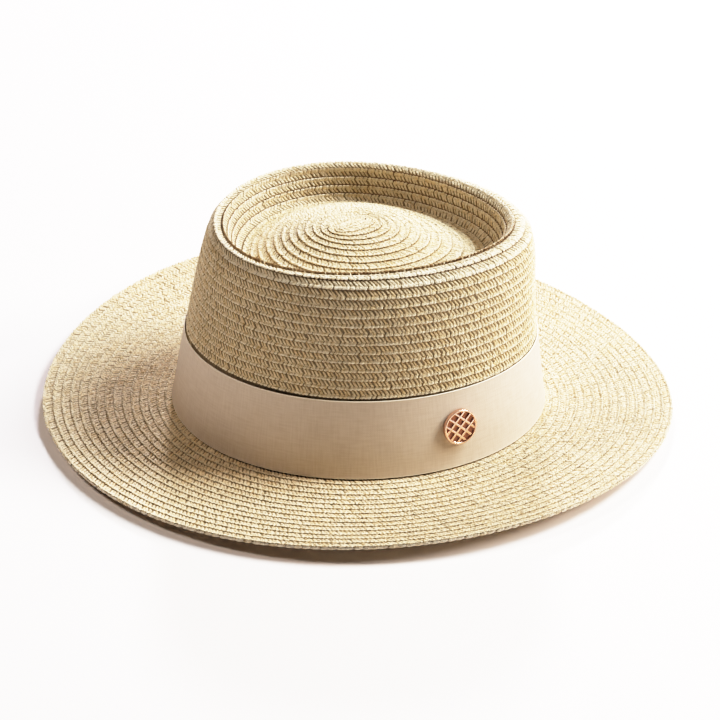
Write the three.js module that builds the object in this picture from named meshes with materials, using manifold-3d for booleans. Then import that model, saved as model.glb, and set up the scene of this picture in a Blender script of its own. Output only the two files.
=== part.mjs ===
// Straw porkpie hat: a crown and a brim of sewn straw braid, a ribbon band and a round metal badge.
// Millimetres, +Z up. The wearer's front is towards -Y and the hat rests on Z = 0 on its brim.
import * as THREE from 'three';
import { mergeVertices } from 'three/addons/utils/BufferGeometryUtils.js';
import Module from 'manifold-3d';

const wasm = await Module();
wasm.setup();

// Straw braid
const flats = 40;              // flats round every oval
const strawWall = 1.8;         // thickness of the braid in the groove between two courses
const coursePitch = 4.45;      // width of one sewn course
const courseRelief = 0.6;      // height of a course above its grooves
const insideStep = 11;         // spacing of the plain sections on the inside of the crown
const seatGap = 0.3;           // clearance between pieces that rest on each other

// Crown sections from the middle of the tip, over the rim and down to the head opening.
// Each one is an egg: egg narrows its front, turn swings its front towards +X, in degrees,
// forward and aside move its middle towards -Y and +X, and tilt lifts its front, mm per mm.
const crownColumns = ['halfLength', 'halfWidth', 'egg', 'turn', 'forward', 'aside', 'height', 'tilt'];
const crownTable = [
  [0.0, 0.0, 0.00, -10, -4.0, 5.5, 99.5, 0.000],    // middle of the tip
  [24.0, 21.0, 0.04, -10, -3.0, 4.5, 97.3, 0.005],  // dome of the tip
  [48.0, 42.5, 0.12, -10, 0.8, 2.8, 90.6, 0.012],   // foot of the dome
  [62.0, 53.5, 0.15, -10, 3.4, 1.6, 86.4, 0.018],   // floor of the recess
  [66.0, 56.0, 0.15, -10, 3.4, 1.6, 89.0, 0.022],   // corner of the recess
  [69.8, 58.6, 0.15, -10, 2.9, 1.0, 98.0, 0.026],   // wall of the recess
  [73.2, 61.0, 0.15, -10, 2.4, 0.8, 104.2, 0.028],  // inner lip of the rim
  [76.6, 64.0, 0.14, -9, 2.9, 0.6, 105.6, 0.028],   // crest of the rim
  [81.2, 68.2, 0.11, -8, 4.2, 0.5, 102.0, 0.026],   // shoulder
  [84.2, 71.2, 0.08, -6, 4.2, 0.4, 93.0, 0.022],    // upper wall
  [87.6, 74.6, 0.05, -3, 2.4, 0.3, 70.0, 0.012],    // middle of the wall
  [91.0, 77.0, 0.03, -1, 1.0, 0.0, 45.0, 0.000],    // top of the band
  [98.0, 84.2, 0.03, 0, 0.0, 0.0, 2.3, 0.000],      // head opening
];

// Brim
const brimReach = 68;          // from the head opening to the edge
const brimWall = 2.0;          // thickness, and the height of its upper face at the head opening
const brimLand = 12;           // flat ring round the head opening that the hat rests on
const brimCurl = 1.7;          // power of the rise from the flat ring to the edge
const brimEgg = 0.02;          // how much narrower the front of the brim is
const undersideStep = 14;      // spacing of the plain sections under the brim
// Rise of the edge above the flat ring: so many waves round the brim, amount in mm and the
// direction of the highest point, in degrees from the front towards +X
const brimRise = 6.8;
const brimWaves = [
  { count: 1, amount: 2.9, highest: 123 },   // lower at the front, higher at one side
  { count: 2, amount: 4.9, highest: 109 },   // both sides turned up
  { count: 3, amount: 1.0, highest: 90 },    // a little more lift on the far side
];

// Ribbon band
const bandHeight = 42.0;       // width of the ribbon
const bandWall = 0.8;          // ribbon with its folded edge
const bandGap = 0.4;           // slack between ribbon and straw
const bandSteps = 3;           // sections up the ribbon

// Badge: a disc with a raised rim, a lattice of bars and a post, and the clutch on that post
const badgeDirection = -58;    // degrees from the front towards +X
const badgeAbove = 0.53;       // place up the ribbon, as a share of its width
const badgeRadius = 9.2;
const badgePlate = 1.0;
const badgeRim = { width: 1.0, height: 1.0 };
const latticeBar = { width: 1.2, height: 0.7, pitch: 3.9, each: 3, turn: 45 };
const postRadius = 0.8;
const postHole = 1.15;         // clearance hole through ribbon and straw
const clutch = { radius: 4, depth: 2.4, bore: 1.1 };
const badgeFlats = 24;
const postPastClutch = 0.8;

// Finishes
const finishes = {
  straw: { color: 0xe2cf9f, roughness: 0.75, metalness: 0 },
  ribbon: { color: 0xe9dcc3, roughness: 0.85, metalness: 0 },
  roseGold: { color: 0xd59a78, roughness: 0.25, metalness: 1 },
};

function piece(name, finish, geometry) {
  const mesh = new THREE.Mesh(geometry, new THREE.MeshStandardMaterial(finishes[finish]));
  mesh.name = name;
  return mesh;
}

const radians = THREE.MathUtils.degToRad;
const roundAngles = Array.from({ length: flats }, (_, i) => (i / flats) * 2 * Math.PI);

// A point of an egg-shaped section: angle 0 is the front, and it grows towards +X
function eggPoint(section, angle) {
  const along = section.halfLength * Math.cos(angle);
  const across = section.halfWidth * Math.sin(angle) * (1 - section.egg * Math.cos(angle));
  const turn = radians(section.turn);
  const forward = along * Math.cos(turn) - across * Math.sin(turn) + section.forward;
  const aside = along * Math.sin(turn) + across * Math.cos(turn) + section.aside;
  return new THREE.Vector3(aside, -forward, section.height + section.tilt * along);
}

// The crown's surface, by the length of braid from the middle of the tip
const column = (name) => crownColumns.indexOf(name);
const meanRadius = (row) => (row[column('halfLength')] + row[column('halfWidth')]) / 2;
const crownLengths = crownTable.reduce((lengths, row, i) => {
  if (i === 0) return [0];
  const before = crownTable[i - 1];
  const outward = meanRadius(row) - meanRadius(before);
  const upward = row[column('height')] - before[column('height')];
  return [...lengths, lengths[i - 1] + Math.hypot(outward, upward)];
}, []);
const crownLength = crownLengths[crownLengths.length - 1];
const crownBlend = new THREE.CubicInterpolant(crownLengths, crownTable.flat(), crownColumns.length);

function crownPoint(length, angle) {
  const values = crownBlend.evaluate(THREE.MathUtils.clamp(length, 0, crownLength));
  const section = Object.fromEntries(crownColumns.map((name, i) => [name, values[i]]));
  return eggPoint(section, angle);
}

function crownNormal(length, angle) {
  const stepLength = 0.5;
  const stepAngle = 0.02;
  if (length < stepLength) return new THREE.Vector3(0, 0, 1);
  const down = crownPoint(length + stepLength, angle).sub(crownPoint(length - stepLength, angle));
  const round = crownPoint(length, angle + stepAngle).sub(crownPoint(length, angle - stepAngle));
  return down.cross(round).normalize();
}

const crownRing = (length, lift) => roundAngles.map(
  (angle) => crownPoint(length, angle).addScaledVector(crownNormal(length, angle), lift));

// A closed solid from rings of points, the faces on the left of the way round.
// A ring of one point is a pole, and without poles the last ring joins the first.
function loft(rings) {
  const starts = [];
  const positions = [];
  for (const ring of rings) {
    starts.push(positions.length / 3);
    for (const point of ring) positions.push(point.x, point.y, point.z);
  }
  const indices = [];
  const hasPoles = rings[0].length === 1;
  const bands = hasPoles ? rings.length - 1 : rings.length;
  for (let i = 0; i < bands; i += 1) {
    const next = (i + 1) % rings.length;
    for (let j = 0; j < flats; j += 1) {
      const k = (j + 1) % flats;
      const corner = (ring, place) => starts[ring] + (rings[ring].length === 1 ? 0 : place);
      const [a, b, c, d] = [corner(i, j), corner(next, j), corner(next, k), corner(i, k)];
      if (b !== c) indices.push(a, b, c);
      if (a !== d) indices.push(a, c, d);
    }
  }
  const geometry = new THREE.BufferGeometry();
  geometry.setAttribute('position', new THREE.Float32BufferAttribute(positions, 3));
  geometry.setIndex(indices);
  geometry.computeVertexNormals();
  return geometry;
}

// Joining and cutting of closed meshes
function solid(geometry) {
  const bare = geometry.clone();
  bare.deleteAttribute('normal');
  bare.deleteAttribute('uv');
  const merged = mergeVertices(bare, 1e-4);
  return new wasm.Manifold(new wasm.Mesh({
    numProp: 3,
    vertProperties: new Float32Array(merged.attributes.position.array),
    triVerts: new Uint32Array(merged.index.array),
  }));
}

function meshOf(manifold) {
  const { vertProperties, triVerts } = manifold.getMesh();
  const geometry = new THREE.BufferGeometry();
  geometry.setAttribute('position', new THREE.BufferAttribute(vertProperties, 3));
  geometry.setIndex(new THREE.BufferAttribute(triVerts, 1));
  geometry.computeVertexNormals();
  return geometry;
}

// Crown: ribbed by its courses outside, plain inside and under the band
const bandFoot = crownLength - seatGap;
const bandHead = bandFoot - bandHeight;

function crownShell() {
  const outside = [[crownPoint(0, 0)]];
  const courses = Math.round(bandHead / coursePitch);
  const pitch = bandHead / courses;
  for (let i = 0; i < courses; i += 1) {
    outside.push(crownRing((i + 0.5) * pitch, courseRelief));
    outside.push(crownRing((i + 1) * pitch, 0));
  }
  outside.push(crownRing((bandHead + crownLength) / 2, 0));
  outside.push(crownRing(crownLength, 0));
  const foot = crownTable[crownTable.length - 1][column('height')];
  const inside = [];
  const steps = Math.round(crownLength / insideStep);
  for (let i = steps; i > 0; i -= 1) inside.push(crownRing((i / steps) * crownLength, -strawWall));
  for (const point of inside[0]) point.z = foot;
  inside.push([crownPoint(0, 0).setZ(crownPoint(0, 0).z - strawWall)]);
  return loft([...outside, ...inside]);
}

// Brim: a flat ring under the crown that curls up towards its wavy edge
const opening = Object.fromEntries(crownColumns.map((name, i) => [name, crownTable[crownTable.length - 1][i]]));

function brimPoint(reach, angle, above) {
  const past = Math.max(0, reach - brimLand) / (brimReach - brimLand);
  const waves = brimWaves.reduce(
    (sum, wave) => sum + wave.amount * Math.cos(wave.count * (angle - radians(wave.highest))), 0);
  const rise = (brimRise + waves) * past ** brimCurl;
  const section = {
    ...opening,
    halfLength: opening.halfLength + reach,
    halfWidth: opening.halfWidth + reach,
    egg: THREE.MathUtils.lerp(opening.egg, brimEgg, THREE.MathUtils.clamp(reach / brimReach, 0, 1)),
    height: rise + above,
  };
  return eggPoint(section, angle);
}

function brimRing() {
  const ring = (reach, above) => roundAngles.map((angle) => brimPoint(reach, angle, above));
  const clear = bandGap + bandWall + seatGap;
  const courses = Math.round((brimReach - clear) / coursePitch);
  const pitch = (brimReach - clear) / courses;
  const rings = [ring(-strawWall, brimWall)];
  for (let i = 0; i < courses; i += 1) {
    rings.push(ring(clear + i * pitch, brimWall));
    rings.push(ring(clear + (i + 0.5) * pitch, brimWall + courseRelief));
  }
  rings.push(ring(brimReach, brimWall));
  const steps = Math.round((brimReach - brimLand) / undersideStep);
  for (let i = steps; i >= 0; i -= 1) rings.push(ring(brimLand + (i / steps) * (brimReach - brimLand), 0));
  rings.push(ring(-strawWall, 0));
  return loft(rings);
}

// Ribbon band: one closed loop that follows the crown
function ribbonLoop() {
  const up = (i) => bandFoot - (i / bandSteps) * bandHeight;
  const steps = Array.from({ length: bandSteps + 1 }, (_, i) => i);
  const outside = steps.map((i) => crownRing(up(i), bandGap + bandWall)).reverse();
  const inside = steps.map((i) => crownRing(up(i), bandGap));
  const foot = brimWall + seatGap;
  for (const point of [...outside[bandSteps], ...inside[0]]) point.z = Math.max(point.z, foot);
  return loft([...outside, ...inside]);
}

// Badge frame: local +Z stands out from the ribbon, local +Y runs up it
const badgeAngle = radians(badgeDirection);
const badgeLength = bandFoot - badgeAbove * bandHeight;
const badgeOut = crownNormal(badgeLength, badgeAngle);
const badgePlace = crownPoint(badgeLength, badgeAngle).addScaledVector(badgeOut, bandGap + bandWall + seatGap);

function badgeFrame() {
  const upward = crownPoint(badgeLength - 1, badgeAngle).sub(crownPoint(badgeLength + 1, badgeAngle));
  const side = upward.cross(badgeOut).normalize();
  const up = badgeOut.clone().cross(side);
  return new THREE.Matrix4().makeBasis(side, up, badgeOut).setPosition(badgePlace);
}

// Solids of revolution about local Z, from [radius, height] corners
function turned(corners) {
  const profile = corners.map(([radius, height]) => new THREE.Vector2(radius, height));
  return new THREE.LatheGeometry(profile, badgeFlats).rotateX(Math.PI / 2);
}

const strawDepth = -(seatGap + bandWall + bandGap + strawWall);
const clutchTop = strawDepth - seatGap;
const clutchFoot = clutchTop - clutch.depth;
const postEnd = clutchFoot - postPastClutch;

function badgeDisc() {
  const inner = badgeRadius - badgeRim.width;
  const top = badgePlate + badgeRim.height;
  const bevel = 0.3;
  const body = solid(turned([
    [0, postEnd], [postRadius, postEnd], [postRadius, 0], [badgeRadius - bevel, 0], [badgeRadius, bevel],
    [badgeRadius, top - bevel], [badgeRadius - bevel, top], [inner + bevel, top], [inner, top - bevel],
    [inner, badgePlate], [0, badgePlate],
  ]));
  const sunk = 0.2;
  const bars = [];
  for (const cross of [0, 90]) {
    for (let i = 0; i < latticeBar.each; i += 1) {
      const bar = new THREE.BoxGeometry(2 * badgeRadius, latticeBar.width, latticeBar.height + sunk);
      const offset = (i - (latticeBar.each - 1) / 2) * latticeBar.pitch;
      bar.translate(0, offset, badgePlate + (latticeBar.height - sunk) / 2);
      bar.rotateZ(radians(latticeBar.turn + cross));
      bars.push(solid(bar));
    }
  }
  const inRim = inner + badgeRim.width / 2;
  const field = solid(turned([[0, 0], [inRim, 0], [inRim, top], [0, top]]));
  const lattice = bars.reduce((joined, bar) => joined.add(bar)).intersect(field);
  return meshOf(body.add(lattice)).applyMatrix4(badgeFrame());
}

function badgeClutch() {
  const chamfer = 0.6;
  return turned([
    [clutch.bore, clutchFoot], [clutch.radius - chamfer, clutchFoot], [clutch.radius, clutchFoot + chamfer],
    [clutch.radius, clutchTop], [clutch.bore, clutchTop], [clutch.bore, clutchFoot],
  ]).applyMatrix4(badgeFrame());
}

function withPostHole(geometry) {
  const drill = turned([[0, postEnd], [postHole, postEnd], [postHole, badgePlate], [0, badgePlate]]);
  return meshOf(solid(geometry).subtract(solid(drill.applyMatrix4(badgeFrame()))));
}

const hat = new THREE.Group();
hat.add(piece('crown', 'straw', withPostHole(crownShell())));
hat.add(piece('brim', 'straw', brimRing()));
hat.add(piece('hat_band', 'ribbon', withPostHole(ribbonLoop())));
hat.add(piece('badge', 'roseGold', badgeDisc()));
hat.add(piece('badge_clutch', 'roseGold', badgeClutch()));

export default hat;
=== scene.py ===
# Straw porkpie hat: sewn paper-straw braid, ribbon band and a rose-gold badge
import math
import bpy
import numpy as np
from mathutils import Matrix, Vector


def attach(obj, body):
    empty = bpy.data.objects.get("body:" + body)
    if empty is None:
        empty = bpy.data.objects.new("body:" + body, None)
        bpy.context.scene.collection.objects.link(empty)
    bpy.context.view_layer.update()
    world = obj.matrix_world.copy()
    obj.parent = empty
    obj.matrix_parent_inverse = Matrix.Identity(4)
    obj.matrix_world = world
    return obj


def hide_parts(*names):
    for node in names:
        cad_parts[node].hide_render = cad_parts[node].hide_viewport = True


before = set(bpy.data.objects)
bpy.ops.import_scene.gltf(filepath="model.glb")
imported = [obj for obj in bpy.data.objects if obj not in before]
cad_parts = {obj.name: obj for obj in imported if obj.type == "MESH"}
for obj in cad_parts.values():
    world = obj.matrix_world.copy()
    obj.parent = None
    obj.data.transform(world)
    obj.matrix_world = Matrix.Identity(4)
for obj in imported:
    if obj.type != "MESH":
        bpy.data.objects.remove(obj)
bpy.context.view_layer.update()        # crown, brim, hat_band, badge and badge_clutch
print("frame loaded:", ", ".join(sorted(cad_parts)))

mm = 0.001
fullTurn = 2 * math.pi
rng = np.random.default_rng(11)

# Crown sections in mm, from the middle of the tip over the rim to the head opening
crown = {
    "sections": np.array([
        # halfLength, halfWidth, egg, turn, forward, aside, height, tilt
        [0.0, 0.0, 0.00, -10, -4.0, 5.5, 99.5, 0.000],    # middle of the tip
        [24.0, 21.0, 0.04, -10, -3.0, 4.5, 97.3, 0.005],  # dome of the tip
        [48.0, 42.5, 0.12, -10, 0.8, 2.8, 90.6, 0.012],   # foot of the dome
        [62.0, 53.5, 0.15, -10, 3.4, 1.6, 86.4, 0.018],   # floor of the recess
        [66.0, 56.0, 0.15, -10, 3.4, 1.6, 89.0, 0.022],   # corner of the recess
        [69.8, 58.6, 0.15, -10, 2.9, 1.0, 98.0, 0.026],   # wall of the recess
        [73.2, 61.0, 0.15, -10, 2.4, 0.8, 104.2, 0.028],  # inner lip of the rim
        [76.6, 64.0, 0.14, -9, 2.9, 0.6, 105.6, 0.028],   # crest of the rim
        [81.2, 68.2, 0.11, -8, 4.2, 0.5, 102.0, 0.026],   # shoulder
        [84.2, 71.2, 0.08, -6, 4.2, 0.4, 93.0, 0.022],    # upper wall
        [87.6, 74.6, 0.05, -3, 2.4, 0.3, 70.0, 0.012],    # middle of the wall
        [91.0, 77.0, 0.03, -1, 1.0, 0.0, 45.0, 0.000],    # top of the band
        [98.0, 84.2, 0.03, 0, 0.0, 0.0, 2.3, 0.000],      # head opening
    ]),
    "startLoop": 9.0,     # half length of the folded start of the braid
    "startTurn": 45.0,    # direction of that fold
    "startFade": 30.0,    # it has rounded out this far from the middle
    "rows": 31.5,         # courses from the middle of the tip to the band
    "phase": 0.45,        # share of a turn by which the spiral is turned
    "firstTurn": 0.15,    # the spiral starts here, in turns
    "tipTurns": 13.4,     # the tip ends here
    "rimTurns": 20.0,     # the rim ends here and the wall goes on
    "pastBand": 0.6,      # turns of the wall below the top of the band
    "rimTurn": 17.1,      # turn of the course on the inner side of the rim
    "rimLift": 1.0,       # how far that course stands up
    "rimHalf": 0.5,       # over this many turns to each side
    "rimFade": 0.12,      # it sinks back over this many
    "insideSplit": 21,    # courses of the inside that belong to the tip
    "lapGrid": (120, 90),
}
halfSizes = crown["sections"][:, :2].mean(1)
sectionSteps = np.hypot(np.diff(halfSizes), np.diff(crown["sections"][:, 6]))
sectionAt = np.concatenate([[0], np.cumsum(sectionSteps)])
crownLength = sectionAt[-1]
stepSlopes = np.diff(crown["sections"], axis=0) / sectionSteps[:, None]
sectionSlopes = np.vstack([stepSlopes[:1], (stepSlopes[1:] + stepSlopes[:-1]) / 2, stepSlopes[-1:]])


def eggPoint(section, angle):
    # angle 0 is the front, towards -Y, and grows towards +X
    halfLength, halfWidth, egg, turn, forward, aside, height, tilt = np.moveaxis(section, -1, 0)
    along = halfLength * np.cos(angle)
    across = halfWidth * np.sin(angle) * (1 - egg * np.cos(angle))
    turn = np.radians(turn)
    ahead = along * np.cos(turn) - across * np.sin(turn) + forward
    side = along * np.sin(turn) + across * np.cos(turn) + aside
    return np.stack([side, -ahead, height + tilt * along], -1)


def crownPoint(length, angle):
    # a point of the crown by the length from the middle of the tip
    length = np.clip(length, 0, crownLength)
    i = np.clip(np.searchsorted(sectionAt, length) - 1, 0, len(sectionSteps) - 1)
    step = sectionSteps[i][..., None]
    t = ((length - sectionAt[i]) / sectionSteps[i])[..., None]
    before, after = crown["sections"][i], crown["sections"][i + 1]
    section = before + (after - before) * t * t * (3 - 2 * t)
    section = section + step * t * (1 - t) * ((1 - t) * sectionSlopes[i] - t * sectionSlopes[i + 1])
    fold = math.radians(crown["startTurn"])
    stretch = crown["startLoop"] * np.clip(1 - length / crown["startFade"], 0, 1) ** 2 * np.cos(angle - fold)
    foldWay = np.array([math.sin(fold), -math.cos(fold), 0])
    return eggPoint(section, angle) + stretch[..., None] * foldWay


# Brim sizes in mm
brim = {
    "reach": 68.0,        # from the head opening to the edge
    "wall": 2.0,
    "land": 12.0,         # flat ring round the head opening
    "curl": 1.7,
    "egg": 0.02,
    "rise": 6.8,
    "waves": [(1, 2.9, 123), (2, 4.9, 109), (3, 1.0, 90)],   # count, amount, highest direction
    "rows": 15,
    "inner": 0.2,         # reach where the first course starts, beside the band
    "innerRows": 8,       # courses in the inner of the two pieces
    "braidEnd": 197.0,    # direction where the braid ends on the edge
    "endStep": 0.9,       # how far that end stands out
    "endRun": 0.5,        # over this much of a turn, in radians
    # folds along the edge, below the last course: sizes in mm
    "fold": {"spacing": 4.1, "half": 2.1, "out": 0.75, "deep": 0.7, "middle": 1.0, "head": 0.85,
             "foot": -0.85, "slant": 0.18, "inset": 0.4, "taper": 0.8, "sections": 5, "shade": 0.9},
    "lapInner": -1.2,     # reach where the hidden laps start
    "lapOuter": 0.9,      # they end this far before the edge
    "lapThick": 0.85,
    "lapGrid": (160, 24),
    "underStart": -1.8,   # reach of the first lip underneath
    "underPast": 0.6,     # the last one may pass the edge by this
    "underBase": 0.6,     # height that the strands underneath hang from
}


def brimPoint(reach, angle, above):
    past = np.clip(reach - brim["land"], 0, None) / (brim["reach"] - brim["land"])
    lift = brim["rise"] + 0 * angle
    for count, amount, highest in brim["waves"]:
        lift = lift + amount * np.cos(count * (angle - math.radians(highest)))
    opening = crown["sections"][-1]
    share = np.clip(reach / brim["reach"], 0, 1)
    section = np.zeros(np.broadcast(reach, angle).shape + (8,))
    section[..., 0] = opening[0] + reach
    section[..., 1] = opening[1] + reach
    section[..., 2] = opening[2] + (brim["egg"] - opening[2]) * share
    section[..., 6] = lift * past ** brim["curl"] + above
    return eggPoint(section, angle)


def brimTop(reach, angle):
    return brimPoint(reach, angle, brim["wall"])


def brimUnder(reach, angle):
    return brimPoint(reach, angle, 0.0)


slopeStep, turnStep = 0.4, 0.01    # mm and radians to each side where a surface is measured


def surfaceNormal(surface, length, angle):
    outward = surface(length + slopeStep, angle) - surface(length - slopeStep, angle)
    onward = surface(length, angle + turnStep) - surface(length, angle - turnStep)
    normal = np.cross(outward, onward)
    size = np.linalg.norm(normal, axis=-1, keepdims=True)
    return np.where(size > 1e-6, normal / np.maximum(size, 1e-9), [0.0, 0.0, 1.0])


def lifted(surface, length, angle, lift):
    normal = surfaceNormal(surface, length, angle)
    return surface(length, angle) + normal * np.asarray(lift)[..., None]


# Braid: every course is a plait of two rows of strands, and the outer row bends over into a lip
braid = {
    "spacing": 2.05,      # strand to strand along a course
    "backSpacing": 2.4,
    "width": 4.5,         # the course that the shapes below are drawn for
    "spacingAt": 0.4,     # the spacing on the crown holds this share of a course inside the lip
    "ringAt": 2.0,        # on closed courses it holds this far inside it
    "step": 0.06,         # unevenness of the spacing
    "waver": 0.07,        # how far a course strays from its line
    "waverTurns": 1.37,   # turns of the spiral before that repeats
    "waves": (3, 7, 13, 22),
    # sections of a strand: out from the last lip, half width, top, drop of the edges, foot,
    # run along the course, slope across it, set-back of the edges
    "face": np.array([
        [   # inner row, from under the last course
            [-0.9, 0.66, -0.14, 0.26, -0.70, -1.15, 0.00, 0.00],
            [0.4, 0.66, 0.04, 0.30, -0.60, -0.50, 0.02, 0.00],
            [1.8, 0.74, 0.24, 0.34, -0.50, 0.35, 0.03, 0.00],
            [3.3, 0.74, -0.04, 0.30, -0.50, 1.15, 0.03, 0.00],
        ],
        [   # outer row, which slants the other way and ends in the lip
            [2.4, 0.56, -0.12, 0.22, -0.55, 0.90, 0.00, 0.00],
            [3.3, 0.88, 0.34, 0.40, -0.40, 0.50, 0.04, 0.00],
            [4.1, 1.02, 0.76, 0.30, -0.32, 0.10, 0.05, 0.08],
            [4.55, 0.94, 0.52, 0.28, -0.30, 0.00, 0.05, 0.26],
        ],
    ]),
    "back": np.array([
        [
            [-0.6, 0.85, 0.00, 0.12, -0.40, -0.80, 0.00, 0.00],
            [3.0, 1.18, 0.40, 0.12, -0.30, 0.30, 0.06, 0.00],
            [4.5, 1.16, 0.32, 0.12, -0.20, 0.70, 0.06, 0.00],
        ],
    ]),
    "startWide": 0.35,    # strands of the first turn are this much wider
    "quiet": 2.2,         # turns at the start of the spiral that are flatter and show no painted crease shadow
    "quietLow": 0.3,      # share of the height that is left at its very start
    "fan": 0.6,           # roots keep this share of the lips' spacing in tight turns
    "tightest": 3.0,      # radius below which strands fan out no more
    "uneven": 0.08,       # every second strand is this much wider, the ones between narrower
    # spread of a strand's reach, width, height and run, and the share of the height's that its root has
    "spread": {"out": 0.07, "half": 0.10, "top": 0.07, "run": 0.17},
    "rootSpread": 0.3,
    "creaseShadowEnd": 0.2,     # the painted shadow of the crease takes this share of a strand's length
    "gapLeast": 0.35,     # darkness of the painted shade in the faintest gaps
    "edgeShadeFade": ([0.2, 0.5, 1.0], [1.0, 0.5, 0.3]),    # strength of the painted shade at the edges along a strand
    # on each part of the hat: height of the relief, unevenness, gaps and roundness of both rows
    "tip": {"relief": 1.25, "stray": 0.8, "gap": (0.4, 0.35), "round": (1.2, 1.2)},
    "rim": {"relief": 1.0, "stray": 0.8, "gap": (1.0, 0.3), "round": (1.0, 0.6)},
    "wall": {"relief": 0.95, "stray": 0.8, "gap": (1.1, 0.9), "round": (1.0, 0.9)},
    "brim": {"relief": 1.05, "stray": 0.9, "gap": (0.38, 0.46), "round": (1.3, 1.7)},
    "under": {"relief": 1.0, "stray": 1.0, "gap": (1.0, 1.0), "round": (1.0, 1.0)},
    "lapTop": -0.34,      # the hidden laps of the courses lie between the strands of both faces
    "lapFoot": -1.20,
}
ribbon = {
    "width": 42.0,
    "clear": 0.3,         # foot of the ribbon above the end of the crown
    "stand": 0.48,        # how far it stands off the crown
    "thick": 0.55,
    "bevel": 0.2,
    "selvedge": 0.20,     # how far its edges stand up
    "selvedgeWide": 0.018,    # share of the width
    "flare": 0.16,        # its upper edge stands off this much more, most in one direction
    "flareWay": -105.0,
    "flareFrom": 0.75,    # share of the width where that starts
    "ease": [(3, 0.10, 0.6, 0.0), (7, 0.07, 2.0, 2.0)],    # slack: waves round, amount, start, twist
    "easeFoot": 0.4,      # share of the slack that is left at its foot
    "press": 0.05,        # strands under it are pressed down to this height
    "groove": 0.1,        # from this far above it
    "lap": 14.0,          # its ends overlap by this
    "around": 530.0,      # way round the crown that the lap is a part of
    "climb": 0.06,        # the outer end climbs on to the inner one over this, in radians
    "lapGap": 0.12,       # and lies this far above it
    "seam": 96.0,         # direction of the outer end
    "grid": (300, 24),
    "evenRows": 0.35,     # the rest of the grid's rows crowd to the edges
}
bandFoot = crownLength - ribbon["clear"]
bandHead = bandFoot - ribbon["width"]
crownPitch = bandHead / crown["rows"]
brimPitch = (brim["reach"] - brim["inner"]) / brim["rows"]


def evenly(path, turn, spacing, start=0.5):
    # turns at even steps along a path, a little uneven as handwork is
    run = np.concatenate([[0], np.cumsum(np.linalg.norm(np.diff(path, axis=0), axis=1))])
    count = int(round(run[-1] / spacing))
    at = (np.arange(count) + start) * run[-1] / count
    at = np.clip(at + rng.normal(0, braid["step"] * spacing, count), 0, run[-1])
    return np.interp(at, run, turn)


def waver(angle):
    # slow wandering of one course, which closes after a full turn
    wander = 0 * angle
    for count in braid["waves"]:
        wander = wander + rng.normal() * np.sin(count * angle + rng.random() * fullTurn)
    return braid["waver"] * wander / 2


spiralSteps, ringSteps = 400, 721    # points of a path in each turn


def spiralPlaces(firstTurn, lastTurn):
    # strands along one long spiral over the crown: the lip's length and the angle of each
    turn = np.linspace(firstTurn, lastTurn, int((lastTurn - firstTurn) * spiralSteps))
    path = crownPoint(crownPitch * (turn - braid["spacingAt"]), (turn + crown["phase"]) * fullTurn)
    turn = evenly(path, turn, braid["spacing"])
    wander = waver(turn * fullTurn / braid["waverTurns"])
    return crownPitch * turn + wander, (turn + crown["phase"]) * fullTurn


def ringPlaces(surface, lips, spacing):
    # strands round closed courses
    turn = np.linspace(0, 1, ringSteps)
    lengths, angles = [], []
    for lip in lips:
        path = surface(np.full(ringSteps, lip - braid["ringAt"]), turn * fullTurn)
        angle = evenly(path, turn, spacing, start=rng.random()) * fullTurn
        lengths.append(lip + waver(angle))
        angles.append(angle)
    return np.concatenate(lengths), np.concatenate(angles)


partOf = {}    # which part of the hat a piece of braid belongs to


def layStrands(name, surface, places, pitch, part, base=0.0, back=False):
    # one closed strand of each row for each place, all in one mesh
    lip, angle = places
    count = len(lip)
    partOf[name] = part
    part = braid[part]
    sign = -1.0 if back else 1.0
    onCrown = surface is crownPoint
    crownFace = onCrown and not back
    turn = (lip / pitch)[:, None]
    second = np.where(np.arange(count) % 2, 1.0, -1.0)[:, None]
    fromRim = np.abs(turn - crown["rimTurn"])
    stand = crown["rimLift"] * np.clip((crown["rimHalf"] - fromRim) / crown["rimFade"], 0, 1) * crownFace

    def jitter(key):
        return part["stray"] * rng.normal(0, braid["spread"][key], count)[:, None]

    rows = braid["back" if back else "face"]
    points, alongs = [], []
    for i, shape in enumerate(rows):
        grow = np.linspace(0, 1, len(shape))
        rise = stand * i * grow
        out = shape[:, 0] * pitch / braid["width"] + jitter("out") * grow
        closed = np.maximum(shape[:, 1], braid["spacing"] / 2)
        half = closed - part["gap"][i] * (closed - shape[:, 1])
        wider = braid["startWide"] * (turn < 1) * onCrown
        half = half * (1 + jitter("half") + braid["uneven"] * second + wider)
        loose = braid["rootSpread"] + (1 - braid["rootSpread"]) * grow
        top = part["relief"] * (shape[:, 2] + jitter("top") * loose)
        if crownFace:
            top = top * np.clip(turn / braid["quiet"], braid["quietLow"], 1)
        top = top + rise
        edge = top - part["round"][i] * shape[:, 3]
        drift = shape[:, 5] + jitter("run")
        # corners of a strand's section: left edge, crown, right edge, underside
        aside = np.stack([drift - half, drift, drift + half, drift], -1)
        height = np.stack([edge - shape[:, 6], top, edge + shape[:, 6], shape[:, 4] + rise], -1)
        length = lip[:, None, None] + sign * (out - pitch)[:, :, None] + 0 * aside
        length[..., [0, 2]] -= sign * shape[:, 7][:, None]
        middle = angle[:, None, None] + 0 * aside
        onward = surface(length, middle + turnStep) - surface(length, middle - turnStep)
        radius = np.linalg.norm(onward, axis=-1) / (2 * turnStep)
        radius = np.maximum(radius, braid["fan"] * radius[:, -1:])
        swing = middle + aside / np.maximum(radius, braid["tightest"])
        if crownFace:
            underBand = length > bandHead - ribbon["groove"]
            height = np.where(underBand, np.minimum(height, ribbon["press"]), height)
        points.append(lifted(surface, length, swing, base + sign * height))
        # no painted crease shadow in the tight turns where the braid starts
        crease = np.where((turn < braid["quiet"]) & onCrown, braid["creaseShadowEnd"], 0.0)
        alongs.append(np.maximum((i + grow) / len(rows), crease))
    return strandMesh(name, np.concatenate(points) * mm, np.concatenate(alongs))


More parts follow.
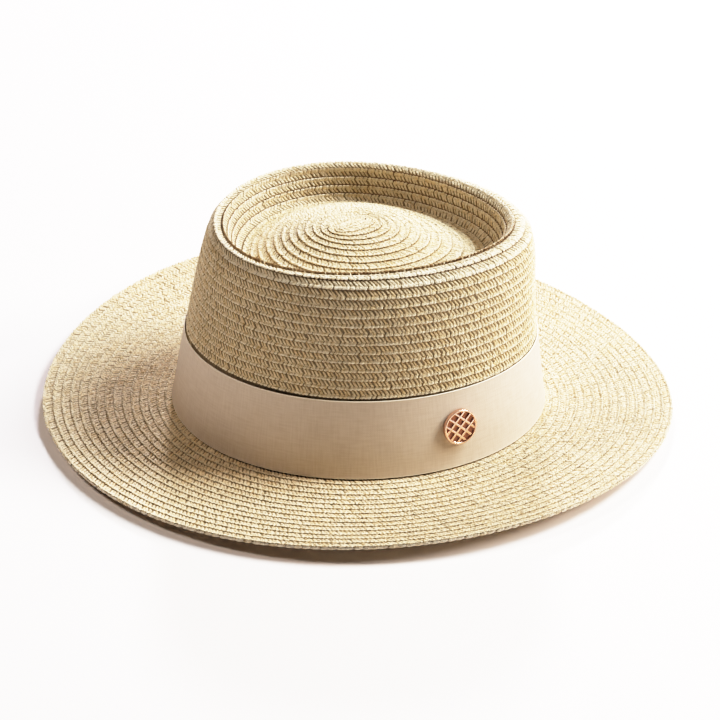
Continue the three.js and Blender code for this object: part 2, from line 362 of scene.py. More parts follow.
# maps of a strand: its girth and length in mm, how far strands lie apart, the margins of its bake cell,
# and where the caps of its ends lie in that
strandMaps = {"girth": 4, "length": 5, "apart": 50, "aside": 0.06, "below": 0.16,
              "capSide": 0.1, "capNear": 0.04, "capFar": 0.12}


def addValues(mesh, name, domain, values):
    attribute = mesh.attributes.new(name, "FLOAT", domain)
    attribute.data.foreach_set("value", values.reshape(-1).astype(np.float32))


def strandMesh(name, points, along):
    # along tells where each section lies between the root, 0, and the lip, 1
    count, rings = along.shape
    side = np.tile(np.arange(4), rings - 1)
    ring = np.repeat(np.arange(rings - 1), 4)
    after = (side + 1) % 4
    last = 4 * (rings - 1)
    sides = np.stack([4 * ring + side, 4 * ring + 4 + side, 4 * ring + 4 + after, 4 * ring + after], -1)
    caps = np.array([[0, 1, 2, 3], [last + 3, last + 2, last + 1, last]])
    one = np.concatenate([sides, caps])
    faces = (np.arange(count)[:, None, None] * 4 * rings + one).reshape(-1, 4)
    mesh = bpy.data.meshes.new(name)
    mesh.from_pydata(points.reshape(-1, 3), [], faces)
    mesh.shade_smooth()
    ends = np.tile(np.arange(len(one)) >= len(sides), count)
    mesh.attributes.new("sharp_face", "BOOLEAN", "FACE").data.foreach_set("value", ends)
    # the flat top of a strand ends in a crisp edge on both sides
    pairs = np.zeros(2 * len(mesh.edges), dtype=np.int32)
    mesh.edges.foreach_get("vertices", pairs)
    corner = pairs.reshape(-1, 2) % 4
    crisp = (corner[:, 0] == corner[:, 1]) & (corner[:, 0] % 2 == 0)
    mesh.attributes.new("sharp_edge", "BOOLEAN", "EDGE").data.foreach_set("value", crisp)
    # painted shade on the faces that look down into the gaps and on the end caps, darker beside some strands
    # than beside others
    tint = rng.random(count)
    darkness = braid["gapLeast"] + (1 - braid["gapLeast"]) * tint[:, None]
    addValues(mesh, "gapShadeShare", "FACE", np.concatenate([side >= 2, [True, True]]) * darkness)
    # place along the strand, which sets its painted shade, a tint of its own, and nearness to its edges,
    # which get painted shade
    along = np.repeat(along.reshape(-1), 4)
    addValues(mesh, "along", "POINT", along)
    addValues(mesh, "tint", "POINT", np.repeat(tint, 4 * rings))
    addValues(mesh, "edge", "POINT",
              np.interp(along, *braid["edgeShadeFade"]) * np.tile([1.0, 0.0, 1.0, 1.0], count * rings))
    # strand map for the fibres, in mm, and a bake map with a cell for each strand
    across = np.stack([side, side, side + 1, side + 1], -1) / 4
    up = np.stack([ring, ring + 1, ring + 1, ring], -1) / (rings - 1)
    inset, near, far = strandMaps["capSide"], strandMaps["capNear"], strandMaps["capFar"]
    capAcross = np.array([[inset, inset, 1 - inset, 1 - inset]] * 2)
    capUp = np.array([[-far, -near, -near, -far], [1 + near, 1 + far, 1 + far, 1 + near]])
    across = np.concatenate([across, capAcross]).reshape(-1)
    up = np.concatenate([up, capUp]).reshape(-1)
    cells = math.ceil(math.sqrt(count))
    column = (np.arange(count) % cells)[:, None]
    line = (np.arange(count) // cells)[:, None]
    aside, below = strandMaps["aside"], strandMaps["below"]
    bakeAcross = column + aside + (1 - 2 * aside) * across
    bakeUp = line + below + (1 - 2 * below) * up
    bake = np.stack([bakeAcross, bakeUp], -1) / cells
    shift = rng.random((count, 1)) * strandMaps["apart"]
    fibre = np.stack([strandMaps["girth"] * across + 0 * shift, strandMaps["length"] * up + shift], -1)
    for key, values in (("Strand", fibre), ("OFBake", bake)):
        mesh.uv_layers.new(name=key).data.foreach_set("uv", values.reshape(-1).astype(np.float32))
    made = bpy.data.objects.new(name, mesh)
    bpy.context.scene.collection.objects.link(made)
    print(name, count, "strands,", 2 * len(faces), "triangles")
    return made


def endOfBraid(lip, angle):
    # the last course stands out a little more until the braid ends
    before = (math.radians(brim["braidEnd"]) - angle) % fullTurn
    last = lip > brim["reach"] - brimPitch / 2
    return lip + np.where(last, brim["endStep"] * np.clip(1 - before / brim["endRun"], 0, 1), 0), angle


def crownCourses(name, part, firstTurn, lastTurn):
    return layStrands(name, crownPoint, spiralPlaces(firstTurn, lastTurn), crownPitch, part)


def insideCourses(name, lips):
    places = ringPlaces(crownPoint, lips, braid["backSpacing"])
    return layStrands(name, crownPoint, places, crownPitch, "under", base=braid["lapFoot"], back=True)


crownPieces = [
    crownCourses("crown_tip", "tip", crown["firstTurn"], crown["tipTurns"]),
    crownCourses("crown_rim", "rim", crown["tipTurns"], crown["rimTurns"]),
    crownCourses("crown_wall", "wall", crown["rimTurns"], crown["rows"] + crown["pastBand"]),
]
brimLips = brim["inner"] + brimPitch * np.arange(1, brim["rows"] + 1)
innerPlaces = ringPlaces(brimTop, brimLips[:brim["innerRows"]], braid["spacing"])
brimPieces = [layStrands("brim_inner_courses", brimTop, innerPlaces, brimPitch, "brim")]
outerPlaces = endOfBraid(*ringPlaces(brimTop, brimLips[brim["innerRows"]:], braid["spacing"]))
brimPieces.append(layStrands("brim_outer_courses", brimTop, outerPlaces, brimPitch, "brim"))
# the back of the braid inside the crown
insideLips = crownPitch * np.arange(0, int(crownLength / crownPitch))
crownPieces.append(insideCourses("crown_inside_tip", insideLips[:crown["insideSplit"]]))
crownPieces.append(insideCourses("crown_inside_wall", insideLips[crown["insideSplit"]:]))


def edgeFolds():
    # along the very edge the strands of the last course fold over: one oval for each fold
    fold = brim["fold"]
    turn = np.linspace(0, 1, ringSteps)
    rimPath = brimUnder(np.full(ringSteps, brim["reach"]), turn * fullTurn)
    angle = evenly(rimPath, turn, fold["spacing"]) * fullTurn
    t = np.linspace(-1, 1, fold["sections"])
    swell = np.sqrt(1 - fold["taper"] * t * t)
    middle = angle[:, None, None]
    shift = (t * fold["half"] / np.linalg.norm(brimUnder(brim["reach"], 0.0)[:2]))[None, :, None]
    out = np.array([0.0, fold["out"], 0.0, -fold["deep"]]) * swell[:, None]
    lift = np.array([fold["head"], 0.0, fold["foot"], 0.0]) * swell[:, None]
    slant = fold["slant"] * t[:, None]
    reach = brim["reach"] - fold["inset"] + out[None] + 0 * middle
    points = brimPoint(reach, middle + shift, 0.0)
    points[..., 2] += fold["middle"] + lift + slant
    partOf["brim_edge"] = "under"
    return strandMesh("brim_edge", points * mm, np.full((len(angle), fold["sections"]), fold["shade"]))


brimPieces.append(edgeFolds())
underLips = brim["underStart"] + brimPitch * np.arange(0, brim["rows"] + 1)
underLips = underLips[underLips + brimPitch < brim["reach"] + brim["underPast"]]
underPlaces = ringPlaces(brimUnder, underLips, braid["backSpacing"])
brimPieces.append(layStrands("brim_underside", brimUnder, underPlaces, brimPitch, "under",
                             base=brim["underBase"], back=True))


def wrapGrid(name, around, along, place):
    # a flat grid wrapped on to the hat: place turns its two shares into points in mm
    bpy.ops.mesh.primitive_grid_add(x_subdivisions=around, y_subdivisions=along, size=1)
    made = bpy.context.object
    made.name = made.data.name = name
    flat = np.zeros(3 * len(made.data.vertices))
    made.data.vertices.foreach_get("co", flat)
    flat = flat.reshape(-1, 3) + 0.5
    made.data.vertices.foreach_set("co", (place(flat[:, 0], flat[:, 1]) * mm).reshape(-1))
    made.data.update()
    return made


def selectOnly(made, *others):
    bpy.ops.object.select_all(action="DESELECT")
    for one in (made, *others):
        one.select_set(True)
    bpy.context.view_layer.objects.active = made


def editAll(made, *steps):
    selectOnly(made)
    bpy.ops.object.mode_set(mode="EDIT")
    bpy.ops.mesh.select_all(action="SELECT")
    for step in steps:
        step()
    bpy.ops.object.mode_set(mode="OBJECT")


def applyModifier(made, kind, **settings):
    selectOnly(made)
    modifier = made.modifiers.new(kind.lower(), kind)
    for key, value in settings.items():
        setattr(modifier, key, value)
    bpy.ops.object.modifier_apply(modifier=modifier.name)


def bevelEdges(made, width, segments, angle):
    applyModifier(made, "BEVEL", width=width * mm, segments=segments, limit_method="ANGLE",
                  angle_limit=math.radians(angle))


def mergeDoubles():
    bpy.ops.mesh.remove_doubles(threshold=0.01 * mm)


def crownLapPlace(u, v):
    return lifted(crownPoint, v * crownLength, u * fullTurn, braid["lapTop"] + 0 * u)


def brimLapPlace(u, v):
    reach = brim["lapInner"] + v * (brim["reach"] - brim["lapOuter"] - brim["lapInner"])
    return lifted(brimTop, reach, u * fullTurn, braid["lapTop"] + 0 * u)


crownLaps = wrapGrid("crown_laps", *crown["lapGrid"], crownLapPlace)
brimLaps = wrapGrid("brim_laps", *brim["lapGrid"], brimLapPlace)
underHat = Vector((0, 0, -100 * mm))    # the laps have to face away from here
for laps, wall in ((crownLaps, braid["lapTop"] - braid["lapFoot"]), (brimLaps, brim["lapThick"])):
    editAll(laps, mergeDoubles)
    middle = laps.data.polygons[len(laps.data.polygons) // 2]
    if middle.normal.dot(middle.center - underHat) < 0:
        editAll(laps, bpy.ops.mesh.flip_normals)
    applyModifier(laps, "SOLIDIFY", thickness=wall * mm, offset=-1)
    laps.data.shade_smooth()
crownPieces.append(crownLaps)
brimPieces.append(brimLaps)
print("laps of the courses made")


# Ribbon: one strip round the crown, its ends lapped on the far side
def ribbonPlace(u, v):
    even = ribbon["evenRows"]
    v = even * v + (1 - even) * (0.5 - 0.5 * np.cos(math.pi * v))    # closer rows near the edges
    run = u * fullTurn * (1 + ribbon["lap"] / ribbon["around"])
    angle = math.radians(ribbon["seam"]) - run
    over = np.clip((run - fullTurn) / ribbon["climb"] + 0.5, 0, 1)
    over = over * over * (3 - 2 * over)
    ease = 0
    for count, amount, start, twist in ribbon["ease"]:
        ease = ease + amount * np.sin(count * angle + start + twist * v)
    foot = ribbon["easeFoot"]
    lift = ribbon["stand"] + ease * (foot + (1 - foot) * v) + over * (ribbon["thick"] + ribbon["lapGap"])
    slack = 0.5 + 0.5 * np.cos(angle - math.radians(ribbon["flareWay"]))
    upper = np.clip((v - ribbon["flareFrom"]) / (1 - ribbon["flareFrom"]), 0, 1)
    lift = lift + ribbon["flare"] * slack * upper ** 2
    lift = lift + ribbon["selvedge"] * np.clip(1 - np.minimum(v, 1 - v) / ribbon["selvedgeWide"], 0, 1)
    return lifted(crownPoint, bandFoot - v * ribbon["width"], angle, lift)


band = wrapGrid("ribbon", *ribbon["grid"], ribbonPlace)
share = np.linspace(0, 1, 2 * ribbon["grid"][0])
midline = ribbonPlace(share, 0 * share + 0.5)
bandLength = float(np.linalg.norm(np.diff(midline, axis=0), axis=1).sum()) * mm
weave = band.data.uv_layers[0]
weave.name = "Ribbon"
flat = np.zeros(2 * len(weave.data))
weave.data.foreach_get("uv", flat)
weave.data.foreach_set("uv", (flat.reshape(-1, 2) * [bandLength, ribbon["width"] * mm]).reshape(-1))
face = band.data.polygons[0]
if face.normal.dot(Vector((face.center.x, face.center.y, 0))) < 0:
    editAll(band, bpy.ops.mesh.flip_normals)
applyModifier(band, "SOLIDIFY", thickness=ribbon["thick"] * mm, offset=1)
bevelEdges(band, ribbon["bevel"], segments=3, angle=60)
band.data.shade_smooth()
print("ribbon", round(bandLength * 1000), "mm long")


# Badge, drawn lying on its back and then set on the ribbon
badge = {
    "direction": -58.0,
    "above": 0.53,        # share of the ribbon's width
    "stand": 1.5,         # its back above the crown
    "radius": 9.2,
    "rim": 1.0,
    "depth": 2.0,         # front of the rim
    "plate": 1.0,         # floor inside the rim
    "back": 0.45,         # the back reaches this much deeper, to the ribbon
    "bevel": 0.28,
    "sides": 96,
    "level": 0.9,         # faces with this much of their normal along the axis count as level
    "fieldTop": 0.05,     # level faces up to here above the floor have the dark colour of the field
    "crisp": 35,          # degrees from which an edge is not shaded smooth
    "bar": {"width": 1.2, "height": 0.7, "pitch": 3.9, "each": 3, "turn": 45, "sunk": 0.2, "under": 0.06,
            "intoRim": 0.5, "bevel": 0.16},
    "post": {"radius": 0.8, "length": 6.8, "sunk": 0.2, "bevel": 0.25, "sides": 24},
}


def joinAll(pieces, name):
    selectOnly(*pieces)
    bpy.ops.object.join()
    pieces[0].name = pieces[0].data.name = name
    return pieces[0]


def selectFaces(made, test):
    # leaves edit mode on with just the faces that pass the test
    bpy.ops.object.mode_set(mode="EDIT")
    bpy.ops.mesh.select_mode(type="FACE")
    bpy.ops.mesh.select_all(action="DESELECT")
    bpy.ops.object.mode_set(mode="OBJECT")
    for one in made.data.polygons:
        one.select = bool(test(one))
    bpy.ops.object.mode_set(mode="EDIT")


def badgeDish():
    depth = (badge["depth"] + badge["back"]) * mm
    middle = (badge["depth"] - badge["back"]) * mm / 2
    bpy.ops.mesh.primitive_cylinder_add(
        vertices=badge["sides"], radius=badge["radius"] * mm, depth=depth, location=(0, 0, middle))
    dish = bpy.context.object
    bpy.ops.object.transform_apply(location=True)
    selectFaces(dish, lambda one: one.normal.z > badge["level"])
    bpy.ops.mesh.inset(thickness=badge["rim"] * mm)
    sink = (badge["plate"] - badge["depth"]) * mm
    bpy.ops.mesh.extrude_region_move(TRANSFORM_OT_translate={"value": (0, 0, sink)})
    bpy.ops.object.mode_set(mode="OBJECT")
    bevelEdges(dish, badge["bevel"], segments=3, angle=40)
    return dish


def badgeBars():
    bar = badge["bar"]
    inner = (badge["radius"] - badge["rim"] + bar["intoRim"]) * mm
    bars = []
    for cross, low in ((0, 0.0), (90, bar["under"])):
        for i in range(bar["each"]):
            offset = (i - (bar["each"] - 1) / 2) * bar["pitch"] * mm
            reach = math.sqrt(inner ** 2 - (abs(offset) + bar["width"] * mm / 2) ** 2)
            foot = (badge["plate"] - bar["sunk"]) * mm
            head = (badge["plate"] + bar["height"] - low) * mm
            turn = Matrix.Rotation(math.radians(bar["turn"] + cross), 4, "Z")
            middle = turn @ Vector((0, offset, (foot + head) / 2))
            bpy.ops.mesh.primitive_cube_add(size=1, location=middle, rotation=turn.to_euler())
            one = bpy.context.object
            one.scale = (2 * reach, bar["width"] * mm, head - foot)
            bpy.ops.object.transform_apply(location=True, rotation=True, scale=True)
            bevelEdges(one, bar["bevel"], segments=2, angle=30)
            bars.append(one)
    return bars


def badgePost():
    post = badge["post"]
    length, sunk = post["length"] * mm, post["sunk"] * mm
    bpy.ops.mesh.primitive_cylinder_add(vertices=post["sides"], radius=post["radius"] * mm,
                                        depth=length + sunk, location=(0, 0, (sunk - length) / 2))
    made = bpy.context.object
    bpy.ops.object.transform_apply(location=True)
    bevelEdges(made, post["bevel"], segments=2, angle=40)
    return made


def badgePlace():
    angle = np.array(math.radians(badge["direction"]))
    length = np.array(bandFoot - badge["above"] * ribbon["width"])
    out = Vector(surfaceNormal(crownPoint, length, angle))
    upward = Vector(crownPoint(length - 1, angle) - crownPoint(length + 1, angle))
    side = upward.cross(out).normalized()
    place = Matrix((side, out.cross(side), out)).transposed().to_4x4()
    place.translation = (Vector(crownPoint(length, angle)) + out * badge["stand"]) * mm
    return place


pin = joinAll([badgeDish()] + badgeBars() + [badgePost()], "badge_lattice")
pin.data.transform(badgePlace())
selectOnly(pin)
bpy.ops.object.shade_smooth_by_angle(angle=math.radians(badge["crisp"]))
print("badge made")


# Looks
white = (1, 1, 1)


def node(tree, kind, inputs=None, **settings):
    # an input is given as a value or as the socket that it is linked to
    made = tree.nodes.new("ShaderNode" + kind)
    for key, value in settings.items():
        setattr(made, key, value)
    for key, value in (inputs or {}).items():
        if isinstance(value, bpy.types.NodeSocket):
            tree.links.new(value, made.inputs[key])
        else:
            made.inputs[key].default_value = value
    return made


def maths(tree, operation, *values):
    return node(tree, "Math", dict(enumerate(values)), operation=operation).outputs[0]


def mixColour(tree, blend, share, first, second):
    # 0, 6 and 7 are the sockets of a Mix node that hold its share and its two colours
    return node(tree, "Mix", {0: share, 6: first, 7: second}, data_type="RGBA", blend_type=blend).outputs[2]


def darken(tree, colour, shade, share=1.0):
    return mixColour(tree, "MULTIPLY", share, colour, shade)


def ramp(tree, value, *stops):
    made = node(tree, "ValToRGB", {"Fac": value})
    elements = made.color_ramp.elements
    while len(elements) < len(stops):
        elements.new(0.5)
    for element, (position, colour) in zip(elements, stops):
        element.position = position
        element.color = (*colour, 1)
    return made.outputs["Color"]


def newMaterial(name, **values):
    material = bpy.data.materials.new(name)
    material.use_nodes = True
    bsdf = material.node_tree.nodes["Principled BSDF"]
    for key, value in values.items():
        bsdf.inputs[key].default_value = value
    return material, material.node_tree, bsdf


def newGroup(name, inputs, outputs):
    group = bpy.data.node_groups.new(name, "ShaderNodeTree")
    for key, kind, value in inputs:
        socket = group.interface.new_socket(name=key, in_out="INPUT", socket_type="NodeSocket" + kind)
        if value is not None:
            socket.default_value = value
    for key, kind in outputs:
        group.interface.new_socket(name=key, in_out="OUTPUT", socket_type="NodeSocket" + kind)
    return group, group.nodes.new("NodeGroupInput"), group.nodes.new("NodeGroupOutput")


def toneGroup():
    # slow changes of tone over the hat, on Object coordinates
    group, given, put = newGroup(
        "slowTone", [("Size", "Float", 30.0), ("Low", "Float", 0.85)], [("Tone", "Color"), ("Mask", "Float")])
    place = node(group, "TexCoord")
    noise = node(group, "TexNoise", {"Vector": place.outputs["Object"], "Scale": given.outputs["Size"],
                                     "Detail": 3.0, "Roughness": 0.55})
    level = node(group, "MapRange", {"Value": noise.outputs["Fac"], "From Min": 0.3, "From Max": 0.7,
                                     "To Min": given.outputs["Low"], "To Max": 1.0})
    group.links.new(level.outputs["Result"], put.inputs["Mask"])
    colour = node(group, "CombineColor", {"Red": level.outputs["Result"], "Green": level.outputs["Result"],
                                          "Blue": level.outputs["Result"]})
    group.links.new(colour.outputs["Color"], put.inputs["Tone"])
    return group


def fibreGroup():
    # fine streaks along a strand or yarn, from a map in mm
    group, given, put = newGroup(
        "fibreStreaks", [("Map", "Vector", None), ("Across", "Float", 6.0), ("Along", "Float", 0.5)],
        [("Streak", "Float"), ("Height", "Float")])
    parts = node(group, "SeparateXYZ", {"Vector": given.outputs["Map"]})
    across = maths(group, "MULTIPLY", parts.outputs["X"], given.outputs["Across"])
    along = maths(group, "MULTIPLY", parts.outputs["Y"], given.outputs["Along"])
    place = node(group, "CombineXYZ", {"X": across, "Y": along})
    noise = node(group, "TexNoise", {"Vector": place.outputs[0], "Scale": 1.0, "Detail": 2.0})
    level = node(group, "MapRange", {"Value": noise.outputs["Fac"], "From Min": 0.3, "From Max": 0.7})
    group.links.new(level.outputs["Result"], put.inputs["Streak"])
    group.links.new(noise.outputs["Fac"], put.inputs["Height"])
    return group


def grainGroup():
    # small dark flecks and bumps of twisted paper, on Object coordinates
    group, given, put = newGroup(
        "paperGrain", [("Size", "Float", 700.0), ("Low", "Float", 0.3), ("High", "Float", 0.6)],
        [("Fleck", "Float"), ("Height", "Float")])
    place = node(group, "TexCoord")
    noise = node(group, "TexNoise", {"Vector": place.outputs["Object"], "Scale": given.outputs["Size"],
                                     "Detail": 2.0, "Roughness": 0.6})
    level = node(group, "MapRange", {"Value": noise.outputs["Fac"], "From Min": given.outputs["Low"],
                                     "From Max": given.outputs["High"]})
    group.links.new(level.outputs["Result"], put.inputs["Fleck"])
    group.links.new(noise.outputs["Fac"], put.inputs["Height"])
    return group


slowTone, fibreStreaks, paperGrain = toneGroup(), fibreGroup(), grainGroup()


def placed(tree, group, **values):
    return node(tree, "Group", values, node_tree=group)


def tonedMaterial(name, colour, tone, **values):
    # one colour with slow changes of tone
    material, tree, bsdf = newMaterial(name, **values)
    tone = placed(tree, slowTone, **tone)
    tree.links.new(darken(tree, (*colour, 1), tone.outputs["Tone"]), bsdf.inputs["Base Color"])
    return material, tree, bsdf, tone


strawLook = {
    "shine": 0.3,
    "gold": (0.98, 0.83, 0.59),    # tint of the yellowest strands
    "pale": (1.0, 0.90, 0.72),     # and of the others
    "goldEnd": 0.45,               # share of the strands that are more or less gold
    "tone": {"Size": 22.0, "Low": 0.94},
    "grain": {"Size": 800.0, "Low": 0.30, "High": 0.60},
    "faint": 0.32,                 # strength of the faint flecks beside the dark ones
    "faintAt": 0.45,
    "streaks": {"Across": 4.0, "Along": 0.6},
    "streak": (0.84, 0.80, 0.72),
    "streakEnd": 0.6,
    "streakShare": 0.6,
    "rough": (0.72, 0.5),          # in the streaks and between them
    "lumps": {"Strength": 1.0, "Distance": 0.0015},
    "fibres": {"Strength": 0.25, "Distance": 0.0001},
    # the laps are the same straw, coloured dark brown: painted shade seen through the slots
    "lap": (0.36, 0.28, 0.17),
    "lapTone": {"Size": 900.0, "Low": 0.55},
    "edgeShadeFrom": 0.25,              # nearness to an edge where its painted shade starts
    # where along a strand the painted shades of the crease, both ends of the inner row, the outer row and the
    # lip lie
    "stops": (0.12, braid["creaseShadowEnd"], 0.50, 0.66, 0.80),
    # painted shade of a strand: the shadow in the crease under the last lip, the inner row, the start of the
    # outer row and the lip, then the shade in the gaps and along the edges
    "tip": [(0.42, 0.35, 0.26), (0.88, 0.83, 0.73), (0.92, 0.88, 0.79), (0.96, 0.92, 0.84),
            (0.50, 0.40, 0.28), (0.88, 0.82, 0.72)],
    "rim": [(0.16, 0.09, 0.05), (0.97, 0.95, 0.90), (0.99, 0.98, 0.95), (1, 1, 1),
            (0.60, 0.45, 0.32), (0.82, 0.76, 0.66)],
    "wall": [(0.38, 0.29, 0.17), (0.95, 0.89, 0.77), (0.80, 0.73, 0.60), (1.0, 0.99, 0.95),
             (0.55, 0.43, 0.26), (0.56, 0.46, 0.32)],
    "brim": [(0.68, 0.61, 0.53), (1.0, 0.93, 0.84), (1.0, 0.95, 0.87), (1.0, 0.97, 0.91),
             (0.44, 0.41, 0.37), (0.78, 0.73, 0.66)],
    "under": [(0.60, 0.48, 0.34), (0.86, 0.80, 0.70), (0.95, 0.92, 0.88), (1, 1, 1),
              (0.66, 0.53, 0.36), (0.74, 0.65, 0.52)],
    # colour of the flecks on each part
    "flecks": {"tip": (0.60, 0.54, 0.45), "rim": (0.62, 0.54, 0.43), "wall": (0.62, 0.53, 0.40),
               "brim": (0.54, 0.47, 0.38), "under": (0.66, 0.56, 0.44)},
}


def strawMaterial(part):
    look = strawLook
    material, tree, bsdf = newMaterial("straw_" + part, **{"Specular IOR Level": look["shine"]})
    crease, root, middle, lip, gapShadeColour, edges = look[part]
    tint, along, edge, gapShadeShare = [node(tree, "Attribute", attribute_name=name).outputs["Fac"]
                                 for name in ("tint", "along", "edge", "gapShadeShare")]
    own = ramp(tree, tint, (0.0, look["gold"]), (look["goldEnd"], look["pale"]), (1.0, look["pale"]))
    # painted shade along a strand: shadow in the crease under the last lip, and the rows darker than the lip
    deep = ramp(tree, along, *zip(look["stops"], (crease, root, root, middle, lip)))
    colour = darken(tree, own, deep)
    grain = placed(tree, paperGrain, **look["grain"])
    fleck = look["flecks"][part]
    faint = [1 - look["faint"] * (1 - c) for c in fleck]
    fleck = ramp(tree, grain.outputs["Fleck"], (0.0, fleck), (look["faintAt"], faint), (1.0, white))
    colour = darken(tree, colour, fleck)
    # painted shade along the edges of each strand
    colour = darken(tree, colour, ramp(tree, edge, (look["edgeShadeFrom"], white), (1.0, edges)))
    # painted shade in the gaps between strands and on their end caps
    colour = darken(tree, colour, (*gapShadeColour, 1), gapShadeShare)
    colour = darken(tree, colour, placed(tree, slowTone, **look["tone"]).outputs["Tone"])
    strandMap = node(tree, "UVMap", uv_map="Strand").outputs["UV"]
    streaks = placed(tree, fibreStreaks, Map=strandMap, **look["streaks"])
    dark = ramp(tree, streaks.outputs["Streak"], (0.0, look["streak"]), (look["streakEnd"], white))
    colour = darken(tree, colour, dark, look["streakShare"])
    tree.links.new(colour, bsdf.inputs["Base Color"])
    dull, smooth = look["rough"]
    rough = node(tree, "MapRange", {"Value": streaks.outputs["Streak"], "To Min": dull, "To Max": smooth})
    tree.links.new(rough.outputs["Result"], bsdf.inputs["Roughness"])
    lumps = node(tree, "Bump", {"Height": grain.outputs["Height"], **look["lumps"]})
    bump = node(tree, "Bump", {"Height": streaks.outputs["Height"], "Normal": lumps.outputs["Normal"],
                               **look["fibres"]})
    tree.links.new(bump.outputs["Normal"], bsdf.inputs["Normal"])
    return material


ribbonLook = {
    "cloth": {"Specular IOR Level": 0.25, "Roughness": 0.75, "Sheen Weight": 0.15, "Sheen Roughness": 0.5},
    "colour": (0.71, 0.605, 0.505),
    "tone": {"Size": 18.0, "Low": 0.93},
    "streaks": {"Across": 1.3, "Along": 0.10},
    "thin": (0.90, 0.88, 0.85),    # shade where the yarns are thin
    "thinTo": (0.15, 0.75),
    # paler colour along both edges: painted highlight where the rounded edges catch the light
    "selvedge": (0.95, 0.86, 0.74),
    "selvedgeEnd": (0.5, 1.1),     # the painted highlight fades between these, in mm from the edge
    "yarn": 0.8,                   # yarn to yarn in mm
    "bump": {"Strength": 0.25, "Distance": 0.0001},
}


def ribbonMaterial():
    look = ribbonLook
    material, tree, bsdf = newMaterial("ribbonCloth", **look["cloth"])
    weaveMap = node(tree, "UVMap", uv_map="Ribbon").outputs["UV"]
    inMm = node(tree, "VectorMath", {0: weaveMap, "Scale": 1 / mm}, operation="SCALE").outputs[0]
    turned = node(tree, "Mapping", {"Vector": inMm, "Rotation": (0, 0, math.radians(90))}).outputs[0]
    warp = placed(tree, fibreStreaks, Map=inMm, **look["streaks"]).outputs["Streak"]
    weft = placed(tree, fibreStreaks, Map=turned, **look["streaks"]).outputs["Streak"]
    both = maths(tree, "MULTIPLY", maths(tree, "ADD", warp, weft), 0.5)
    thin, full = look["thinTo"]
    colour = darken(tree, (*look["colour"], 1), ramp(tree, both, (thin, look["thin"]), (full, white)))
    colour = darken(tree, colour, placed(tree, slowTone, **look["tone"]).outputs["Tone"])
    parts = node(tree, "SeparateXYZ", {"Vector": inMm})
    below = maths(tree, "SUBTRACT", ribbon["width"], parts.outputs["Y"])
    edge = maths(tree, "MINIMUM", parts.outputs["Y"], below)
    # painted highlight: paler colour along both edges of the ribbon
    near, far = look["selvedgeEnd"]
    edgeHighlight = node(tree, "MapRange", {"Value": edge, "From Min": near, "From Max": far,
                                     "To Min": 1.0, "To Max": 0.0})
    colour = mixColour(tree, "MIX", edgeHighlight.outputs["Result"], colour, (*look["selvedge"], 1))
    tree.links.new(colour, bsdf.inputs["Base Color"])
    waves = []
    for axis in ("X", "Y"):
        angle = maths(tree, "MULTIPLY", parts.outputs[axis], fullTurn / look["yarn"])
        waves.append(maths(tree, "SINE", angle))
    bump = node(tree, "Bump", {"Height": maths(tree, "MULTIPLY", *waves), **look["bump"]})
    tree.links.new(bump.outputs["Normal"], bsdf.inputs["Normal"])
    return material


metalLook = {
    "colour": (0.93, 0.63, 0.50),
    "tone": {"Size": 160.0, "Low": 0.86},
    "rough": (0.30, 0.16),         # in dull and in polished places
    "field": (0.36, 0.16, 0.10),
    "fieldTone": {"Size": 700.0, "Low": 0.7},
}


def metalMaterial():
    look = metalLook
    material, tree, bsdf, tone = tonedMaterial("roseGold", look["colour"], look["tone"], Metallic=1.0)
    dull, polished = look["rough"]
    rough = node(tree, "MapRange", {"Value": tone.outputs["Mask"], "From Min": look["tone"]["Low"],
                                    "From Max": 1.0, "To Min": dull, "To Max": polished})
    tree.links.new(rough.outputs["Result"], bsdf.inputs["Roughness"])
    return material


def dress(made, *materials):
    made.data.materials.clear()
    for material in materials:
        made.data.materials.append(material)


straws = {part: strawMaterial(part) for part in ("tip", "rim", "wall", "brim", "under")}
# the laps carry painted shade for the slots between strands
lapShadeStraw = tonedMaterial("strawLapsPaintedShade", strawLook["lap"], strawLook["lapTone"],
                         **{"Specular IOR Level": 0.2, "Roughness": 0.8})[0]
cloth = ribbonMaterial()
roseGold = metalMaterial()
field = tonedMaterial("badgeField", metalLook["field"], metalLook["fieldTone"],
                      Metallic=0.6, Roughness=0.4)[0]
for piece in crownPieces + brimPieces:
    dress(piece, straws[partOf[piece.name]] if piece.name in partOf else lapShadeStraw)
    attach(piece, "root")
for piece in crownPieces:
    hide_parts("crown")
for piece in brimPieces:
    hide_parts("brim")
dress(band, cloth)
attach(band, "root")
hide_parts("hat_band")
dress(pin, roseGold, field)
fieldTop = (badge["plate"] + badge["fieldTop"]) * mm
unplace = badgePlace().inverted()
for one in pin.data.polygons:
    middle = unplace @ one.center
    level = (unplace.to_3x3() @ one.normal).z > badge["level"]
    if level and 0 < middle.z < fieldTop:
        one.material_index = 1
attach(pin, "root")
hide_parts("badge")
dress(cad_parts["badge_clutch"], roseGold)

# Floor, light and camera
stage = {
    "size": 6,
    "floor": (0.96, 0.915, 0.925),
    "tone": {"Size": 2.0, "Low": 0.985},
    "surface": {"Roughness": 0.8, "Specular IOR Level": 0.1},
    "world": (1, 0.95, 0.9),
    "worldStrength": 0.005,
}
bpy.ops.mesh.primitive_plane_add(size=stage["size"], location=(0, 0, 0))
floor = bpy.context.object
floor.name = "floor"
dress(floor, tonedMaterial("paleFloor", stage["floor"], stage["tone"], **stage["surface"])[0])

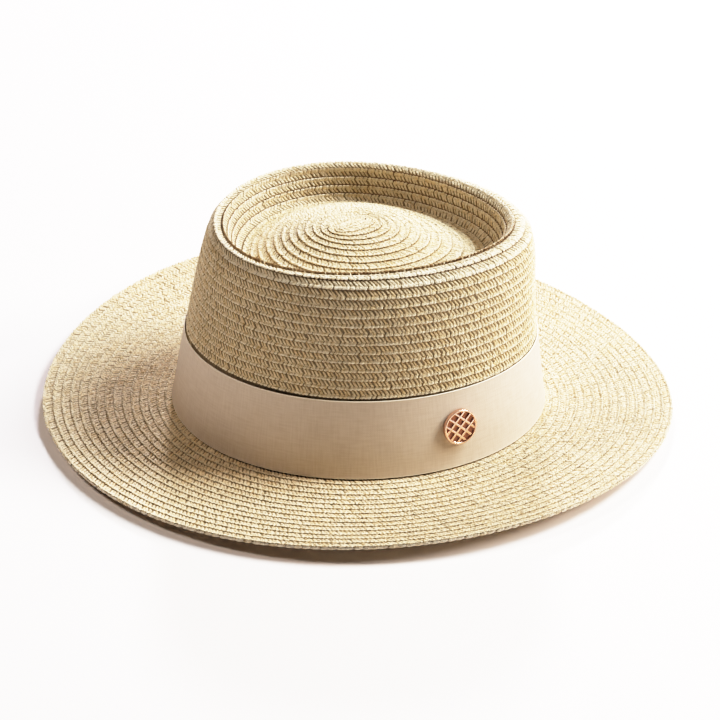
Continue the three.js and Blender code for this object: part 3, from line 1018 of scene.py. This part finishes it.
# four soft boxes: direction from the hat's front and height, in degrees, size, power and colour
lights = {
    "distance": 2.0,
    "boxes": {
        "key": (17, 50, 0.8, 71.0, (0.95, 1.0, 1.0)),
        "right": (0, 30, 0.6, 36.0, (1.0, 0.88, 0.76)),
        "behind": (88, 30, 0.25, 37.0, (0.92, 0.90, 1.0)),
        "left": (180, 55, 0.4, 17.5, (1.0, 0.86, 0.73)),
    },
}
for name, (direction, height, size, power, colour) in lights["boxes"].items():
    lamp = bpy.data.lights.new(name, "AREA")
    lamp.shape = "DISK"
    lamp.size = size
    lamp.energy = power
    lamp.color = colour
    hung = bpy.data.objects.new(name, lamp)
    bpy.context.scene.collection.objects.link(hung)
    turn, rise = math.radians(direction), math.radians(height)
    way = Vector((math.sin(turn) * math.cos(rise), -math.cos(turn) * math.cos(rise), math.sin(rise)))
    hung.location = way * lights["distance"]
    hung.rotation_euler = (-way).to_track_quat("-Z", "Y").to_euler()

world = bpy.data.worlds.new("studio")
bpy.context.scene.world = world
world.use_nodes = True
background = world.node_tree.nodes["Background"]
background.inputs["Color"].default_value = (*stage["world"], 1)
background.inputs["Strength"].default_value = stage["worldStrength"]

# the camera fitted to the photo, in degrees and metres, and its lens in mm
view = {
    "elevation": 30.495,
    "roll": 0.681,
    "distance": 1.1667,
    "aim": (0, -0.000615, 0.021816),
    "lens": 110.6,
}
camera = bpy.data.objects.new("camera", bpy.data.cameras.new("camera"))
bpy.context.scene.collection.objects.link(camera)
camera.data.lens = view["lens"]
elevation, roll = math.radians(view["elevation"]), math.radians(view["roll"])
ahead = Vector((math.cos(elevation), 0, -math.sin(elevation)))
right = Vector((0, -1, 0))
up = Vector((math.sin(elevation), 0, math.cos(elevation)))
rolledRight = right * math.cos(roll) + up * math.sin(roll)
rolledUp = up * math.cos(roll) - right * math.sin(roll)
cameraPlace = Matrix((rolledRight, rolledUp, -ahead)).transposed().to_4x4()
cameraPlace.translation = Vector(view["aim"]) - ahead * view["distance"]
camera.matrix_world = cameraPlace
bpy.context.scene.camera = camera

# Film-like response: bright straw pales towards white
film = bpy.context.scene.view_settings
film.view_transform = "Standard"
film.use_curve_mapping = True
curves = film.curve_mapping
filmWhite, filmToe, filmShoulder, filmGain = 6.0, 1.2, 3.0, 1.02
filmStops = (0.04, 0.1, 0.2, 0.35, 0.5, 0.65, 0.8, 1.0, 1.25, 1.6, 2.2, 3.2, 4.5)
curves.white_level = (filmWhite, filmWhite, filmWhite)


def filmTone(light):
    return filmGain * (light / (1 + light ** filmShoulder) ** (1 / filmShoulder)) ** filmToe


curve = curves.curves[3]    # the one for all three colours
for stop in filmStops:
    curve.points.new(stop / filmWhite, filmTone(stop))
curve.points[len(curve.points) - 1].location = (1, filmTone(filmWhite))
curves.update()
print("stage, light and camera set")
